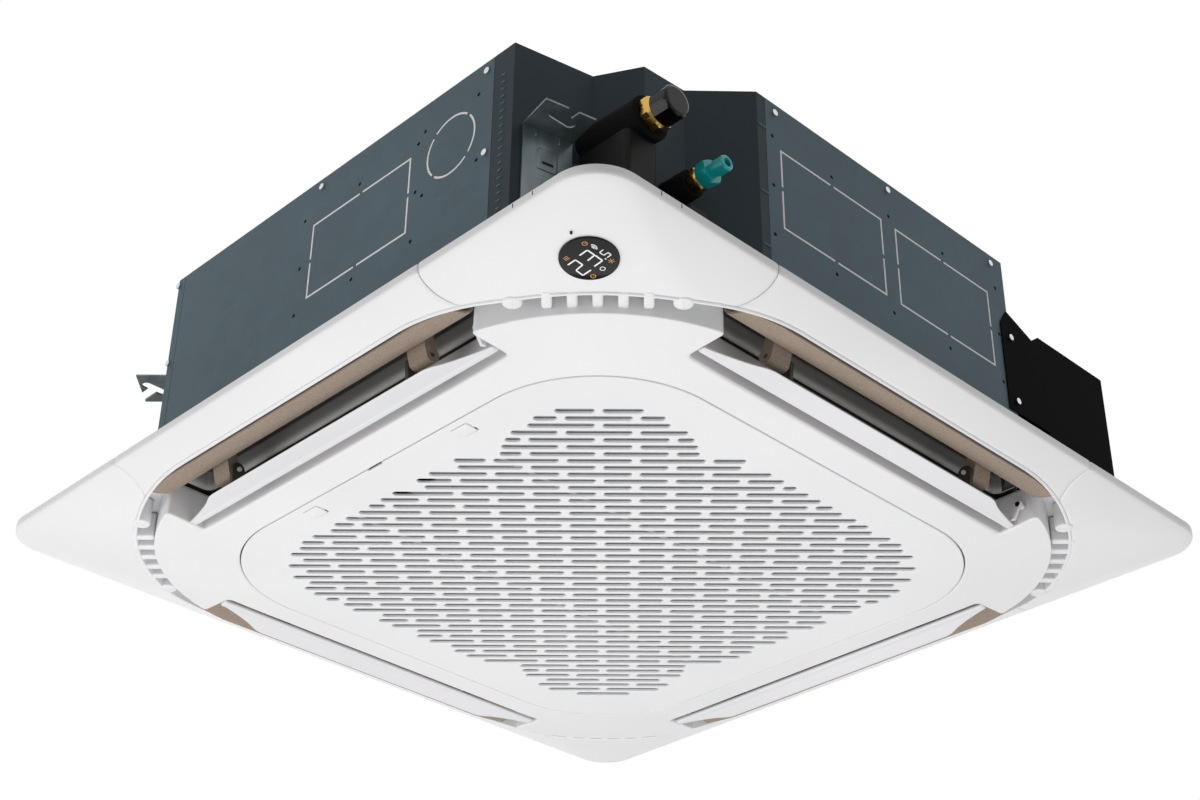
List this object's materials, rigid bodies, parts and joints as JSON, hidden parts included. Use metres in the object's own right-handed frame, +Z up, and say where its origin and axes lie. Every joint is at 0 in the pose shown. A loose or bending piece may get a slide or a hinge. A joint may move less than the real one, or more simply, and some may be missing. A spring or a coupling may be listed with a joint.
{
  "type": "ceiling cassette air conditioner",
  "caption": "Four-way ceiling cassette indoor unit: steel casing in the ceiling void, white square panel with four swinging vanes, slotted intake grille and round display.",
  "frame": {"origin": "middle of the panel on the top of its rim, in the plane of the ceiling", "axes": "+Z up into the ceiling void, -Y the front side with the grille latches, +X the side with the pipe stubs"},
  "size_m": [0.95, 0.95, 0.3107],
  "materials": {
    "galvanised": "satin",
    "hanger_steel": "satin",
    "screw_steel": "polished",
    "white_plastic": "satin",
    "vane_plastic": "satin",
    "lip_foam": "matt",
    "arm_plastic": "satin",
    "dark_foam": "matt",
    "black_foam": "matt",
    "black_plastic": "satin",
    "gloss_black": "gloss",
    "brass": "satin",
    "copper": "satin",
    "teal_plastic": "gloss",
    "black_steel": "satin",
    "aluminium_fins": "satin",
    "motor_steel": "satin",
    "fan_plastic": "satin",
    "filter_mesh": "matt",
    "board_green": "satin"
  },
  "bodies": {
    "unit": {"casing_front_wall": "galvanised", "casing_right_wall": "galvanised", "casing_back_wall": "galvanised", "casing_left_wall": "galvanised", "casing_pipe_corner": "galvanised", "casing_top_plate": "galvanised", "casing_screws": "screw_steel", "casing_insulation": "dark_foam", "hanger_brackets": "hanger_steel", "fan_motor": "motor_steel", "motor_mounts": "black_foam", "bell_mouth": "black_plastic", "coil": "aluminium_fins", "coil_bends": "copper", "drain_pan": "dark_foam", "drain_pump": "black_plastic", "float_switch": "white_plastic", "drain_outlet": "black_plastic", "gas_pipe": "copper", "liquid_pipe": "copper", "gas_insulation": "black_foam", "liquid_insulation": "black_foam", "gas_nut": "brass", "liquid_nut": "brass", "gas_cap": "gloss_black", "liquid_plug": "teal_plastic", "cable_entry": "black_plastic", "control_box": "black_steel", "control_cover": "black_steel", "terminal_block": "white_plastic", "control_board": "board_green", "panel_frame": "white_plastic", "corner_cover_display": "white_plastic", "corner_cover_left": "white_plastic", "corner_cover_right": "white_plastic", "corner_cover_far": "white_plastic", "opening_trim": "white_plastic", "centre_panel": "white_plastic", "corner_fins": "white_plastic", "duct_lips": "lip_foam", "vane_brackets": "lip_foam", "vane_motors": "white_plastic", "panel_screws": "screw_steel", "display_window": "gloss_black"},
    "fan_rotor": {"impeller": "fan_plastic", "impeller_nut": "screw_steel", "motor_shaft": "screw_steel"},
    "float": {"float_ball": "white_plastic"},
    "grille": {"intake_grille": "white_plastic"},
    "filter": {"air_filter": "filter_mesh"},
    "latch_left": {"grille_latch_left": "white_plastic"},
    "latch_right": {"grille_latch_right": "white_plastic"},
    "vane_front": {"vane_front": "vane_plastic", "vane_arms_front": "arm_plastic"},
    "vane_right": {"vane_right": "vane_plastic", "vane_arms_right": "arm_plastic"},
    "vane_back": {"vane_back": "vane_plastic", "vane_arms_back": "arm_plastic"},
    "vane_left": {"vane_left": "vane_plastic", "vane_arms_left": "arm_plastic"}
  },
  "joints": [
    {"name": "fan_spin", "type": "hinge", "parent": "unit", "child": "fan_rotor", "pos_m": [0, 0, 0.16], "axis": [0, 0, 1], "continuous": true},
    {"name": "vane_front_swing", "type": "hinge", "parent": "unit", "child": "vane_front", "pos_m": [0, -0.391, -0.024], "axis": [1, 0, 0], "range_deg": [-13, 35]},
    {"name": "vane_right_swing", "type": "hinge", "parent": "unit", "child": "vane_right", "pos_m": [0.391, 0, -0.024], "axis": [0, 1, 0], "range_deg": [-13, 35]},
    {"name": "vane_back_swing", "type": "hinge", "parent": "unit", "child": "vane_back", "pos_m": [0, 0.391, -0.024], "axis": [-1, 0, 0], "range_deg": [-13, 35]},
    {"name": "vane_left_swing", "type": "hinge", "parent": "unit", "child": "vane_left", "pos_m": [-0.391, 0, -0.024], "axis": [0, -1, 0], "range_deg": [-13, 35]},
    {"name": "grille_hinge", "type": "hinge", "parent": "unit", "child": "grille", "pos_m": [0, 0.319, -0.0466], "axis": [1, 0, 0], "range_deg": [0, 90]},
    {"name": "filter_lift", "type": "slide", "parent": "grille", "child": "filter", "axis": [0, 0, 1], "range_m": [0, 0.02]},
    {"name": "latch_left_slide", "type": "slide", "parent": "grille", "child": "latch_left", "axis": [0, 1, 0], "range_m": [0, 0.005], "stiffness_N_per_m": 150},
    {"name": "latch_right_slide", "type": "slide", "parent": "grille", "child": "latch_right", "axis": [0, 1, 0], "range_m": [0, 0.005], "stiffness_N_per_m": 150},
    {"name": "float_rise", "type": "slide", "parent": "unit", "child": "float", "axis": [0, 0, 1], "range_m": [0, 0.012]}
  ]
}
